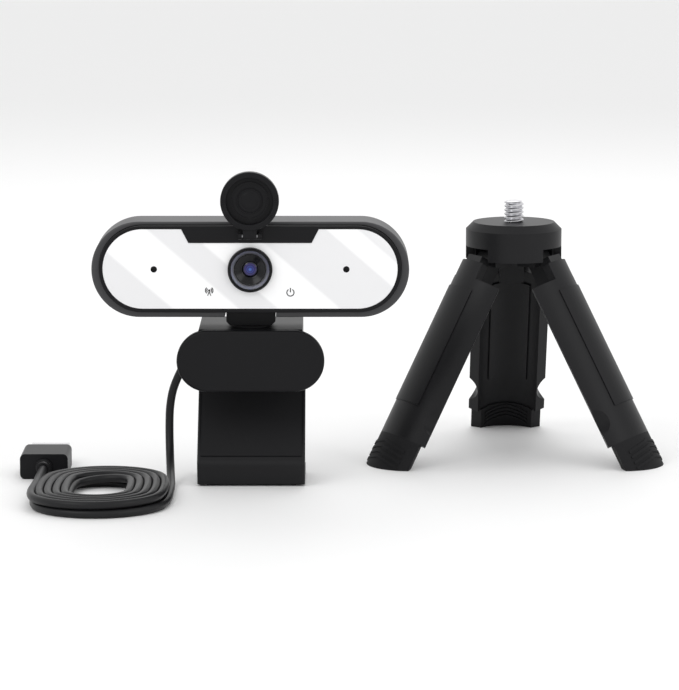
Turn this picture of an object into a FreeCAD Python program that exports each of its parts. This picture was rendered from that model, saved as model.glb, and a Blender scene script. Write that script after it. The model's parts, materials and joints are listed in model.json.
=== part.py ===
import FreeCAD, Part
import math
import os
import re

import Sketcher
from FreeCAD import Placement, Rotation, Vector

# A webcam on its folding clip stand, with its USB lead and a mini tripod beside it.
# Millimetres, +X to the camera's left hand side, +Y to the back, +Z up.
# The origin is on the floor, under the middle of the clip's foot.
# "ahead" values are distances in front of the origin (towards -Y), so they are positive forwards.

DIMENSIONS = {
    # Outer casing of the head.
    "shell_width": 98.0,
    "shell_height": 29.7,
    "shell_middle": 68.25,
    "shell_ahead": 11.0,
    "shell_behind": 9.0,
    "shell_wall": 1.6,
    "shell_back_round": 5.0,
    "opening_width": 93.5,
    "opening_height": 27.2,
    # Black bezel and white panel.
    "bezel_width": 93.2,
    "bezel_height": 26.9,
    "bezel_middle": 68.6,
    "bezel_ahead": 13.2,
    "carrier_ahead": 11.5,
    "carrier_back": 9.7,
    "skirt_back": 7.7,
    "skirt_wall": 1.2,
    "panel_width": 90.7,
    "panel_height": 24.6,
    "panel_middle": 68.7,
    "panel_ahead": 13.0,
    "panel_gap": 0.05,
    "band_half_top": 21.6,
    "band_half_bottom": 18.9,
    "band_bottom": 76.8,
    "band_round": 1.2,
    # Camera module.
    "lens_middle": 68.5,
    "ring_radius": 6.86,
    "ring_bore": 6.1,
    "ring_ahead": 14.9,
    "ring_chamfer": 0.4,
    "bevel_bore": 4.9,
    "barrel_radius": 4.85,
    "barrel_thread": 4.0,
    "barrel_bore": 2.55,
    "glass_radius": 2.5,
    "holder_size": 12.0,
    "board_ahead": 0.9,
    "board_back": -0.3,
    "board_width": 82.0,
    "board_bottom": 59.1,
    "board_top": 78.1,
    "sound_across": 29.6,
    "sound_middle": 68.6,
    "left_light_across": -12.6,
    "left_light_middle": 61.7,
    "right_light_across": 12.4,
    "right_light_middle": 61.4,
    "post_across": 43.6,
    "post_radius": 2.4,
    "board_post_across": 33.0,
    # Privacy cover and its stuck-on hinge.
    "flip_middle": 79.25,
    "flip_ahead": 15.2,
    "cap_radius": 9.0,
    "cap_recess": 7.2,
    "cap_drop": 10.75,
    "cap_half_thick": 1.7,
    "cap_floor": 1.2,
    "tongue_width": 4.25,
    "knuckle_radius": 1.15,
    "cover_pin_radius": 0.5,
    # Neck.
    "neck_width": 15.2,
    "neck_half_depth": 4.0,
    "neck_behind": -2.0,
    "neck_bottom": 50.1,
    "tilt_middle": 56.5,
    "tilt_pin_radius": 1.5,
    "collar_radius": 6.3,
    "swivel_radius": 3.0,
    "running_gap": 0.05,
    # Clip arm and lip.
    "arm_width": 32.0,
    "arm_ahead": 11.0,
    "arm_behind": 17.2,
    "arm_bottom": 43.0,
    "arm_top": 49.6,
    "arm_roof": 2.2,
    "bay_half_width": 12.0,
    "lip_width": 45.7,
    "lip_height": 19.2,
    "lip_thick": 3.0,
    # Clip leg.
    "leg_width": 33.6,
    "hinge_behind": 21.0,
    "hinge_middle": 45.2,
    "hinge_round": 3.3,
    "hinge_pin_radius": 1.5,
    "leg_knuckle_half": 10.0,
    "nose_ahead": 11.5,
    "nose_up": 7.6,
    "foot_behind": 13.0,
    "foot_clear": 0.6,
    "facing_margin": 1.1,
    "facing_long": 38.0,
    "facing_end": 47.2,
    "facing_thick": 0.4,
    "insert_radius": 4.0,
    "insert_bore": 3.175,
    "insert_behind": 5.5,
    # Lead and plug.
    "cord_diameter": 2.6,
    "coil_across": -45.0,
    "coil_ahead": 30.0,
    "coil_width": 43.5,
    "coil_length": 60.5,
    "coil_hole_width": 17.5,
    "coil_hole_length": 34.5,
    "plug_across": -65.45,
    "plug_up": 4.0,
    "plug_start": -2.0,
    "relief_long": 3.7,
    "plug_width": 15.05,
    "plug_thick": 8.0,
    "plug_long": 16.9,
    "usb_width": 12.0,
    "usb_thick": 4.5,
    "usb_long": 12.0,
    # Mini tripod.
    "stand_across": 84.0,
    "stand_behind": 48.0,
    "hub_radius": 15.5,
    "hub_bottom": 68.3,
    "hub_top": 76.0,
    "hub_chamfer": 2.3,
    "screw_radius": 3.175,
    "screw_top": 82.8,
    "screw_root": 2.5,
    "screw_buried": 8.0,
    "relief_radius": 2.5,
    "relief_tip_radius": 1.8,
    "stand_pin_radius": 1.2,
    "stand_pin_bore": 1.25,
    "stand_pin_half": 7.6,
    "stand_ear_inner": 4.4,
    "stand_ear_half": 3.2,
    "stand_lug_radius": 2.4,
    "stand_lug_width": 8.0,
    "stand_hinge_out": 8.5,
    "stand_hinge_up": 65.3,
    "stand_leg_long": 66.5,
    "stand_foot_long": 14.0,
    "scoop_radius": 5.2,
    "scoop_across": 15.2,
    "scoop_up": 8.5,
    "stand_leg_outer": 15.3,
    "stand_leg_wall": 3.6,
    "stand_leg_spread": 29.4,
}

document = FreeCAD.newDocument("webcam_on_clip_stand")
sheet = document.addObject("Spreadsheet::Sheet", "Dimensions")
for row, (alias, value) in enumerate(DIMENSIONS.items(), start=1):
    sheet.set("A%d" % row, alias)
    sheet.set("B%d" % row, str(value))
    sheet.setAlias("B%d" % row, alias)
document.recompute()

nodes = []


# ---------------------------------------------------------------- expressions

def bound(text):
    """Turn each alias in text into a reference to the sheet."""
    def reference(match):
        word = match.group(0)
        return "Dimensions." + word if word in DIMENSIONS else word
    return re.sub(r"[a-z_]+", reference, str(text))


def value_of(text):
    """Work out an expression of aliases with the sheet's own values."""
    return float(sheet.evalExpression(bound(text)))


def bind(thing, name, text):
    """Tie one property of a document object to an expression."""
    thing.setExpression(name, bound(text))


def node(thing, label):
    """List thing as a piece of the object, under its own label."""
    thing.Label = label
    nodes.append(thing)
    return thing


# ---------------------------------------------------------------- primitives

def block(name, across, behind, up):
    """A box; each argument is a pair of expressions, its low and high side along X, Y and Z."""
    made = document.addObject("Part::Box", name)
    for size, letter, (low, high) in (
        ("Length", "x", across), ("Width", "y", behind), ("Height", "z", up),
    ):
        bind(made, size, "(%s) - (%s)" % (high, low))
        bind(made, "Placement.Base." + letter, low)
    return made


TURNS = {
    "x": Rotation(Vector(0, 1, 0), 90),
    "y": Rotation(Vector(1, 0, 0), -90),
    "z": Rotation(),
}


def rod(name, axis, radius, low, high, first, second):
    """A cylinder along axis from low to high; first and second are its other two coordinates."""
    made = document.addObject("Part::Cylinder", name)
    bind(made, "Radius", radius)
    bind(made, "Height", "(%s) - (%s)" % (high, low))
    made.Placement = Placement(Vector(), TURNS[axis])
    others = [letter for letter in "xyz" if letter != axis]
    for letter, place in zip([axis] + others, [low, first, second]):
        bind(made, "Placement.Base." + letter, place)
    return made


def cut(name, base, *tools):
    """base without the tools."""
    result = base
    for number, tool in enumerate(tools):
        made = document.addObject("Part::Cut", "%s_cut_%d" % (name, number))
        made.Base = result
        made.Tool = tool
        result = made
    return result


def fuse(name, *parts):
    """The parts joined into one solid."""
    made = document.addObject("Part::MultiFuse", name)
    made.Shapes = list(parts)
    made.Refine = True
    return made


def group(name, *parts):
    """Separate solids kept together as one piece."""
    made = document.addObject("Part::Compound", name)
    made.Links = list(parts)
    return made


def pipe(name, axis, outer, inner, low, high, first, second):
    """A hollow cylinder."""
    return cut(
        name,
        rod(name + "_outside", axis, outer, low, high, first, second),
        rod(name + "_inside", axis, inner, "(%s) - 1" % low, "(%s) + 1" % high, first, second),
    )


# ---------------------------------------------------------------- bodies

def new_body(label):
    """An empty body that is a piece of its own."""
    return node(document.addObject("PartDesign::Body", label), label)


def sketch(body, name, role, offset="0"):
    """A sketch on one of the body's own origin planes, moved along its normal by offset."""
    plane = next(feature for feature in body.Origin.OriginFeatures if feature.Role == role)
    drawn = body.newObject("Sketcher::SketchObject", body.Label + "_" + name)
    drawn.AttachmentSupport = (plane, [""])
    drawn.MapMode = "FlatFace"
    bind(drawn, "AttachmentOffset.Base.z", offset)
    return drawn


def hold(drawn, kind, geometry, point, text):
    """Constrain one point's distance from the origin, or a radius, to an expression."""
    value = value_of(text)
    if kind == "Radius":
        index = drawn.addConstraint(Sketcher.Constraint(kind, geometry, value))
    else:
        index = drawn.addConstraint(Sketcher.Constraint(kind, -1, 1, geometry, point, value))
    name = "held_%s" % "abcdefghijklmnopqrstuvwxyz"[index % 26] + "_%d" % index
    drawn.renameConstraint(index, name)
    bind(drawn, "Constraints." + name, text)


def polygon(drawn, points):
    """A closed outline of straight lines through points, each a pair of expressions."""
    places = [Vector(value_of(across), value_of(up), 0) for across, up in points]
    first = len(drawn.Geometry)
    count = len(points)
    for number in range(count):
        line = Part.LineSegment(places[number], places[(number + 1) % count])
        drawn.addGeometry(line, False)
    for number in range(count):
        following = first + (number + 1) % count
        drawn.addConstraint(Sketcher.Constraint("Coincident", first + number, 2, following, 1))
    for number, (across, up) in enumerate(points):
        hold(drawn, "DistanceX", first + number, 1, across)
        hold(drawn, "DistanceY", first + number, 1, up)
    return drawn


def circle(drawn, radius, across="0", up="0"):
    """A circle, constrained by its centre and radius."""
    centre = Vector(value_of(across), value_of(up), 0)
    index = drawn.addGeometry(Part.Circle(centre, Vector(0, 0, 1), value_of(radius)), False)
    hold(drawn, "DistanceX", index, 3, across)
    hold(drawn, "DistanceY", index, 3, up)
    hold(drawn, "Radius", index, 0, radius)
    return drawn


def stadium(drawn, width, height, middle="0", across="0"):
    """An outline with two straight sides and two half-round ends, wider than it is tall."""
    half_run = "((%s) - (%s)) / 2" % (width, height)
    radius = value_of("(%s) / 2" % height)
    centre = Vector(value_of(across), value_of(middle), 0)
    run = Vector(value_of(half_run), 0, 0)
    rise = Vector(0, radius, 0)
    left = Part.Circle(centre - run, Vector(0, 0, 1), radius)
    right = Part.Circle(centre + run, Vector(0, 0, 1), radius)
    top, left_end, bottom, right_end = drawn.addGeometry([
        Part.LineSegment(centre + run + rise, centre - run + rise),
        Part.ArcOfCircle(left, math.pi / 2, 3 * math.pi / 2),
        Part.LineSegment(centre - run - rise, centre + run - rise),
        Part.ArcOfCircle(right, -math.pi / 2, math.pi / 2),
    ], False)
    for before, after in ((top, left_end), (left_end, bottom), (bottom, right_end), (right_end, top)):
        drawn.addConstraint(Sketcher.Constraint("Tangent", before, 2, after, 1))
    for end, sign in ((left_end, "-"), (right_end, "+")):
        hold(drawn, "DistanceX", end, 3, "(%s) %s %s" % (across, sign, half_run))
        hold(drawn, "DistanceY", end, 3, middle)
        hold(drawn, "Radius", end, 0, "(%s) / 2" % height)
    return drawn


def pad(body, drawn, length, symmetric=False):
    """Add the sketch's area to the body, along the sketch's normal."""
    made = body.newObject("PartDesign::Pad", drawn.Label + "_pad")
    made.Profile = drawn
    bind(made, "Length", length)
    if symmetric:
        made.SideType = "Symmetric"
    document.recompute()
    return made


def pocket(body, drawn, length, symmetric=False):
    """Cut the sketch's area out of the body, against the sketch's normal."""
    before = body.Shape.Volume
    made = body.newObject("PartDesign::Pocket", drawn.Label + "_pocket")
    made.Profile = drawn
    bind(made, "Length", length)
    if symmetric:
        made.SideType = "Symmetric"
    document.recompute()
    confirm_cut(made, before)
    return made


def confirm_cut(made, before):
    """Stop if a cut failed, or if the volume shows that it removed nothing."""
    if made.Shape.isNull():
        raise RuntimeError("%s failed: %s" % (made.Label, made.getStatusString()))
    if made.Shape.Volume > before - 0.01:
        raise RuntimeError(made.Label + " cuts nothing")


def turn(body, drawn, axis):
    """Turn the sketch's area a full turn about its own horizontal or vertical axis."""
    made = body.newObject("PartDesign::Revolution", drawn.Label + "_turn")
    made.Profile = drawn
    made.ReferenceAxis = (drawn, [axis])
    document.recompute()
    return made


def turned_along_y(label, points, middle):
    """A round piece about an axis along Y; each point is (distance behind, radius)."""
    body = new_body(label)
    bind(body, "Placement.Base.z", middle)
    turn(body, polygon(sketch(body, "profile", "YZ_Plane"), points), "H_Axis")
    return body


def eased(body, kind, size, chosen):
    """Fillet or chamfer the edges of the body's last feature that chosen accepts."""
    base = body.Tip
    names = ["Edge%d" % (number + 1) for number, edge in enumerate(base.Shape.Edges) if chosen(edge)]
    if not names:
        raise RuntimeError(body.Label + " has no edge to ease")
    made = body.newObject("PartDesign::" + kind, "%s_%s_%d" % (body.Label, kind, len(body.Group)))
    made.Base = (base, names)
    bind(made, "Radius" if kind == "Fillet" else "Size", size)
    document.recompute()
    return made


def lies_at(letter, place, tolerance=0.01):
    """A test for edges that lie wholly in the plane where X, Y or Z is place."""
    def test(edge):
        box = edge.BoundBox
        low = getattr(box, letter + "Min")
        high = getattr(box, letter + "Max")
        return abs(low - place) < tolerance and abs(high - place) < tolerance
    return test


# ---------------------------------------------------------------- head casing

def make_rear_shell():
    shell = new_body("rear_shell")
    outside = stadium(
        sketch(shell, "outside", "XZ_Plane", "-shell_behind"), "shell_width", "shell_height", "shell_middle",
    )
    pad(shell, outside, "shell_ahead + shell_behind")
    eased(shell, "Fillet", "shell_back_round", lies_at("Y", value_of("shell_behind")))
    eased(shell, "Fillet", "0.6", lies_at("Y", value_of("-shell_ahead")))
    cavity = stadium(
        sketch(shell, "cavity", "XZ_Plane", "shell_ahead"),
        "opening_width", "opening_height", "bezel_middle",
    )
    pocket(shell, cavity, "shell_ahead + shell_behind - shell_back_round")
    dish = stadium(
        sketch(shell, "dish", "XZ_Plane", "0"),
        "opening_width - 6", "opening_height - 6", "bezel_middle",
    )
    pocket(shell, dish, "shell_behind - shell_wall")
    posts = sketch(shell, "posts", "XZ_Plane", "shell_wall / 2 - shell_behind")
    for side in ("-", ""):
        circle(posts, "post_radius", side + "post_across", "bezel_middle")
    pad(shell, posts, "shell_behind - shell_wall / 2 + carrier_back")
    board_posts = sketch(shell, "board_posts", "XZ_Plane", "shell_wall / 2 - shell_behind")
    for side in ("-", ""):
        for height in ("bezel_middle - 6", "bezel_middle + 6"):
            circle(board_posts, "post_radius", side + "board_post_across", height)
    pad(shell, board_posts, "shell_behind - shell_wall / 2 + board_back")
    holes = sketch(shell, "screw_holes", "XZ_Plane", "carrier_back")
    for side in ("-", ""):
        circle(holes, "1.0", side + "post_across", "bezel_middle")
        for height in ("bezel_middle - 6", "bezel_middle + 6"):
            circle(holes, "1.0", side + "board_post_across", height)
    pocket(shell, holes, "15")
    lugs = sketch(shell, "tilt_lugs", "YZ_Plane")
    polygon(lugs, [
        ("neck_behind - 3.5", "shell_middle - shell_height / 2 + 0.4"),
        ("neck_behind + 3.5", "shell_middle - shell_height / 2 + 0.4"),
        ("neck_behind + 3.5", "tilt_middle + 3"),
        ("neck_behind - 3.5", "tilt_middle + 3"),
    ])
    pad(shell, lugs, "neck_width + 5.8", symmetric=True)
    slot = sketch(shell, "neck_slot", "YZ_Plane")
    polygon(slot, [
        ("-shell_ahead - 1", "shell_middle - shell_height / 2 - 1"),
        ("neck_behind + 6", "shell_middle - shell_height / 2 - 1"),
        ("neck_behind + 6", "tilt_middle + 4.5"),
        ("-shell_ahead - 1", "tilt_middle + 4.5"),
    ])
    pocket(shell, slot, "neck_width + 0.6", symmetric=True)
    bore = sketch(shell, "tilt_bore", "YZ_Plane")
    circle(bore, "tilt_pin_radius", "neck_behind", "tilt_middle")
    pocket(shell, bore, "neck_width + 5.2", symmetric=True)


def band_points(grow):
    """The band's slanted outline, grown sideways and downwards by grow."""
    return [
        ("-band_half_top - %s" % grow, "bezel_middle + bezel_height / 2"),
        ("-band_half_bottom - %s" % grow, "band_bottom - %s" % grow),
        ("band_half_bottom + %s" % grow, "band_bottom - %s" % grow),
        ("band_half_top + %s" % grow, "bezel_middle + bezel_height / 2"),
    ]


def band_corner(edge):
    """The two short upright edges at the band's lower corners."""
    box = edge.BoundBox
    level = abs(box.ZMax - box.ZMin) < 0.01
    return level and box.XLength < 0.01 and abs(box.ZMin - value_of("band_bottom")) < 0.2


def make_front_bezel():
    bezel = new_body("front_bezel")
    outside = stadium(
        sketch(bezel, "outside", "XZ_Plane", "skirt_back"), "bezel_width", "bezel_height", "bezel_middle",
    )
    pad(bezel, outside, "bezel_ahead - skirt_back")
    window = stadium(
        sketch(bezel, "window", "XZ_Plane", "bezel_ahead"),
        "panel_width + 2 * panel_gap", "panel_height + 2 * panel_gap", "panel_middle",
    )
    pocket(bezel, window, "bezel_ahead - carrier_ahead")
    pad(bezel, polygon(sketch(bezel, "band", "XZ_Plane", "carrier_ahead - 0.2"), band_points("0")),
        "bezel_ahead - carrier_ahead + 0.2")
    eased(bezel, "Fillet", "band_round", band_corner)
    inside = sketch(bezel, "inside", "XZ_Plane", "carrier_back")
    stadium(inside, "bezel_width - 2 * skirt_wall", "bezel_height - 2 * skirt_wall", "bezel_middle")
    pocket(bezel, inside, "carrier_back - skirt_back + 1")
    eased(bezel, "Fillet", "0.35", lambda edge: lies_at("Y", value_of("-bezel_ahead"))(edge)
          and edge.BoundBox.ZMin < value_of("band_bottom") - 3)
    clearance = sketch(bezel, "post_clearance", "XZ_Plane", "carrier_back")
    for side in ("-", ""):
        circle(clearance, "post_radius + 0.3", side + "post_across", "bezel_middle")
    pocket(bezel, clearance, "carrier_back - skirt_back + 1")
    heads = sketch(bezel, "screw_seats", "XZ_Plane", "carrier_ahead")
    for side in ("-", ""):
        circle(heads, "2.0", side + "(post_across - 0.4)", "bezel_middle")
    pocket(bezel, heads, "1.05")
    holes = sketch(bezel, "holes", "XZ_Plane", "carrier_ahead")
    circle(holes, "ring_radius + 0.04", "0", "lens_middle")
    for side in ("-", ""):
        circle(holes, "0.9", side + "sound_across", "sound_middle")
        circle(holes, "1.05", side + "post_across", "bezel_middle")
    circle(holes, "1.35", "left_light_across", "left_light_middle")
    circle(holes, "1.35", "right_light_across", "right_light_middle")
    pocket(bezel, holes, "carrier_ahead - carrier_back + 0.5")


def make_front_panel():
    panel = new_body("front_panel")
    outline = stadium(
        sketch(panel, "outline", "XZ_Plane", "carrier_ahead"), "panel_width", "panel_height", "panel_middle",
    )
    pad(panel, outline, "panel_ahead - carrier_ahead")
    notch = polygon(sketch(panel, "band_notch", "XZ_Plane", "panel_ahead"), band_points("panel_gap"))
    pocket(panel, notch, "panel_ahead - carrier_ahead")
    holes = sketch(panel, "holes", "XZ_Plane", "panel_ahead")
    circle(holes, "ring_radius + 0.05", "0", "lens_middle")
    for side in ("-", ""):
        circle(holes, "1.0", side + "sound_across", "sound_middle")
    pocket(panel, holes, "panel_ahead - carrier_ahead")


# ---------------------------------------------------------------- camera module

def make_camera_module():
    turned_along_y("lens_ring", [
        ("-ring_ahead", "ring_bore"),
        ("-ring_ahead", "ring_radius - ring_chamfer"),
        ("-ring_ahead + ring_chamfer", "ring_radius"),
        ("-carrier_back", "ring_radius"),
        ("-carrier_back", "barrel_radius + 0.05"),
        ("-carrier_ahead", "barrel_radius + 0.05"),
        ("-carrier_ahead", "ring_bore"),
    ], "lens_middle")
    turned_along_y("lens_bevel", [
        ("-ring_ahead + 0.5", "ring_bore - 0.03"),
        ("-ring_ahead + 0.35", "ring_bore - 0.2"),
        ("-ring_ahead + 1.9", "bevel_bore"),
        ("-carrier_ahead - 0.02", "bevel_bore"),
        ("-carrier_ahead - 0.02", "ring_bore - 0.03"),
    ], "lens_middle")
    turned_along_y("lens_barrel", [
        ("-13.3", "barrel_radius - 0.3"),
        ("-13.0", "barrel_radius"),
        ("-9.0", "barrel_radius"),
        ("-9.0", "barrel_thread"),
        ("-3.4", "barrel_thread"),
        ("-3.4", "barrel_bore"),
        ("-12.1", "barrel_bore"),
    ], "lens_middle")
    front = new_body("front_glass")
    bind(front, "Placement.Base.z", "lens_middle")
    polygon_points = [("-12.5", "0"), ("-12.38", "1"), ("-12.1", "1.8"), ("-11.7", "glass_radius"),
                      ("-10.8", "glass_radius"), ("-10.8", "0")]
    turn(front, polygon(sketch(front, "profile", "YZ_Plane"), polygon_points), "H_Axis")
    middle = rod("middle_glass", "y", "glass_radius", "-9.4", "-8.2", "0", "lens_middle")
    rear = rod("rear_glass", "y", "glass_radius", "-6.0", "-4.8", "0", "lens_middle")
    node(group("inner_glasses", middle, rear), "inner_glasses")
    spacers = [
        pipe("front_spacer", "y", "glass_radius", "1.9", "-10.75", "-9.45", "0", "lens_middle"),
        pipe("rear_spacer", "y", "glass_radius", "1.9", "-8.15", "-6.05", "0", "lens_middle"),
    ]
    node(group("lens_spacers", *spacers), "lens_spacers")
    half = "holder_size / 2"
    sides = ("-" + half, half)
    upright = ("lens_middle - " + half, "lens_middle + " + half)
    holder = cut(
        "lens_holder",
        block("holder_block", sides, ("-7.0", "-board_ahead"), upright),
        rod("holder_bore", "y", "barrel_thread + 0.05", "-7.5", "-2.0", "0", "lens_middle"),
        block("holder_bay", ("-4.25", "4.25"), ("-3.2", "0"), ("lens_middle - 4.25", "lens_middle + 4.25")),
    )
    node(holder, "lens_holder")
    node(block("ir_filter", ("-4.1", "4.1"), ("-3.15", "-2.65"),
               ("lens_middle - 4.1", "lens_middle + 4.1")), "ir_filter")
    node(block("image_sensor", ("-3.8", "3.8"), ("-board_ahead - 1.1", "-board_ahead"),
               ("lens_middle - 3.8", "lens_middle + 3.8")), "image_sensor")


def make_electronics():
    depth = ("-board_ahead", "-board_back")
    blank = block("board_blank", ("-board_width / 2", "board_width / 2"), depth,
                  ("board_bottom", "board_top"))
    notch = block("board_notch", ("-11", "11"), ("-5", "5"), ("board_bottom - 1", "61.9"))
    holes = []
    shanks = []
    for side in ("-", ""):
        for number, height in enumerate(("bezel_middle - 6", "bezel_middle + 6")):
            name = "board_screw_%s%d" % ("left" if side else "right", number)
            across = side + "board_post_across"
            holes.append(rod(name + "_hole", "y", "1.05", "-3", "3", across, height))
            shank = rod(name + "_shank", "y", "0.95", "-board_ahead", "5.0", across, height)
            head = rod(name + "_head", "y", "1.9", "-board_ahead - 1.2", "-board_ahead", across, height)
            shanks.append(fuse(name, shank, head))
    node(cut("main_board", blank, notch, *holes), "main_board")
    node(group("board_screws", *shanks), "board_screws")
    behind = ("-board_back", "-board_back + 1.0")
    node(group(
        "board_chips",
        block("image_chip", ("-22", "-13"), behind, ("65", "74")),
        block("memory_chip", ("-30", "-25"), behind, ("67", "71")),
        block("sound_chip", ("16", "21"), behind, ("67", "72")),
        block("lead_socket", ("-4", "4"), ("-board_back", "-board_back + 3.2"), ("64", "68")),
    ), "board_chips")
    pieces = []
    gaskets = []
    for side in ("-", ""):
        name = "left" if side else "right"
        across = side + "sound_across"
        pieces.append(block(
            name + "_microphone", (across + " - 1.9", across + " + 1.9"),
            ("-board_ahead - 1", "-board_ahead"), ("sound_middle - 1.5", "sound_middle + 1.5"),
        ))
        gaskets.append(pipe(name + "_gasket", "y", "1.8", "0.8", "-carrier_back + 0.02",
                            "-board_ahead - 1.02", across, "sound_middle"))
    node(group("microphones", *pieces), "microphones")
    node(group("mic_gaskets", *gaskets), "mic_gaskets")
    lamps = []
    guides = []
    for name in ("left", "right"):
        across = name + "_light_across"
        height = name + "_light_middle"
        lamps.append(block(name + "_lamp", (across + " - 0.8", across + " + 0.8"),
                           ("-board_ahead - 0.6", "-board_ahead"), (height + " - 0.4", height + " + 0.4")))
        guides.append(rod(name + "_guide", "y", "1.3", "-carrier_ahead + 0.02", "-board_ahead - 0.65",
                          across, height))
    node(group("indicator_leds", *lamps), "indicator_leds")
    node(group("light_guides", *guides), "light_guides")
    screws = []
    for side in ("-", ""):
        name = "body_screw_" + ("left" if side else "right")
        across = side + "post_across"
        head_across = side + "(post_across - 0.4)"
        shank = rod(name + "_shank", "y", "0.95", "-carrier_ahead + 0.9", "3", across, "bezel_middle")
        head = rod(name + "_head", "y", "1.5", "-carrier_ahead + 0.05", "-carrier_ahead + 1.04",
                   head_across, "bezel_middle")
        screws.append(fuse(name, shank, head))
    node(group("body_screws", *screws), "body_screws")
    node(rod("tilt_pin", "x", "tilt_pin_radius", "-neck_width / 2 - 2.6", "neck_width / 2 + 2.6",
             "neck_behind", "tilt_middle"), "tilt_pin")


# ---------------------------------------------------------------- privacy cover

def make_cover():
    cap = new_body("cover_cap")
    bind(cap, "Placement.Base.y", "-flip_ahead")
    bind(cap, "Placement.Base.z", "flip_middle")
    disc = sketch(cap, "disc", "XZ_Plane", "-cap_half_thick")
    circle(disc, "cap_radius", "0", "cap_drop")
    pad(cap, disc, "2 * cap_half_thick")
    recess = sketch(cap, "recess", "XZ_Plane", "cap_half_thick")
    circle(recess, "cap_recess", "0", "cap_drop")
    pocket(cap, recess, "2 * cap_half_thick - cap_floor")
    eased(cap, "Fillet", "0.4", lies_at("Y", value_of("cap_half_thick")))
    eased(cap, "Fillet", "0.3", lies_at("Y", value_of("-cap_half_thick")))
    tongue = sketch(cap, "tongue", "YZ_Plane")
    polygon(tongue, [
        ("-knuckle_radius", "0"),
        ("knuckle_radius", "0"),
        ("knuckle_radius", "cap_drop - cap_radius + 1.6"),
        ("-knuckle_radius", "cap_drop - cap_radius + 1.6"),
    ])
    pad(cap, tongue, "tongue_width", symmetric=True)
    knuckle = sketch(cap, "knuckle", "YZ_Plane")
    circle(knuckle, "knuckle_radius")
    pad(cap, knuckle, "tongue_width", symmetric=True)
    bore = sketch(cap, "bore", "YZ_Plane")
    circle(bore, "cover_pin_radius + running_gap")
    pocket(cap, bore, "tongue_width + 1", symmetric=True)
    low = "flip_middle - 1.6"
    high = "flip_middle + 1.6"
    node(block("cover_adhesive", ("-3.8", "3.8"), ("-bezel_ahead - 0.2", "-bezel_ahead"),
               (low + " + 0.15", high + " - 0.15")), "cover_adhesive")
    plate = block("cover_plate", ("-4", "4"), ("-bezel_ahead - 0.62", "-bezel_ahead - 0.2"), (low, high))
    parts = [plate]
    for name, inner, outer in (("left", "-3.55", "-2.4"), ("right", "2.4", "3.55")):
        parts.append(rod("cover_ear_" + name, "x", "knuckle_radius", inner, outer,
                         "-flip_ahead", "flip_middle"))
        parts.append(block("cover_web_" + name, (inner, outer), ("-flip_ahead", "-bezel_ahead - 0.3"),
                           ("flip_middle - knuckle_radius", "flip_middle + knuckle_radius")))
    drill = rod("cover_drill", "x", "cover_pin_radius", "-5", "5", "-flip_ahead", "flip_middle")
    node(cut("cover_base", fuse("cover_base_solid", *parts), drill), "cover_base")
    node(rod("cover_pin", "x", "cover_pin_radius", "-3.55", "3.55", "-flip_ahead", "flip_middle"),
         "cover_pin")


# ---------------------------------------------------------------- neck

def make_neck():
    neck = new_body("neck_block")
    bind(neck, "Placement.Base.y", "neck_behind")
    side = sketch(neck, "side", "YZ_Plane")
    polygon(side, [
        ("-neck_half_depth", "neck_bottom"),
        ("neck_half_depth", "neck_bottom"),
        ("neck_half_depth", "tilt_middle"),
        ("-neck_half_depth", "tilt_middle"),
    ])
    pad(neck, side, "neck_width", symmetric=True)
    knuckle = sketch(neck, "knuckle", "YZ_Plane")
    circle(knuckle, "neck_half_depth", "0", "tilt_middle")
    pad(neck, knuckle, "neck_width", symmetric=True)

    def lower_side(edge):
        box = edge.BoundBox
        at_bottom = abs(box.ZMin - value_of("neck_bottom")) < 0.01 and box.ZLength < 0.01
        return at_bottom and box.XLength < 0.01

    eased(neck, "Chamfer", "1.2", lower_side)
    shaft = sketch(neck, "shaft", "XY_Plane", "arm_top - arm_roof - 0.4")
    circle(shaft, "swivel_radius")
    pad(neck, shaft, "neck_bottom - arm_top + arm_roof + 0.6")
    bore = sketch(neck, "tilt_bore", "YZ_Plane")
    circle(bore, "tilt_pin_radius + running_gap", "0", "tilt_middle")
    pocket(neck, bore, "neck_width + 1", symmetric=True)
    drill = sketch(neck, "screw_hole", "XY_Plane", "arm_top - arm_roof + 4")
    circle(drill, "1.2")
    pocket(neck, drill, "5")
    roof = "arm_top - arm_roof"
    node(pipe("swivel_collar", "z", "collar_radius", "swivel_radius + running_gap", "arm_top",
              "neck_bottom", "0", "neck_behind"), "swivel_collar")
    node(pipe("friction_washer", "z", "5", "swivel_radius + running_gap", roof + " - 0.4", roof,
              "0", "neck_behind"), "friction_washer")
    node(pipe("swivel_washer", "z", "5.5", "1.25", roof + " - 1.2", roof + " - 0.4",
              "0", "neck_behind"), "swivel_washer")
    node(fuse(
        "swivel_screw",
        rod("swivel_shank", "z", "1.2", roof + " - 1.3", roof + " + 3.8", "0", "neck_behind"),
        rod("swivel_head", "z", "2.4", roof + " - 2.2", roof + " - 1.2", "0", "neck_behind"),
    ), "swivel_screw")


# ---------------------------------------------------------------- clip

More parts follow.
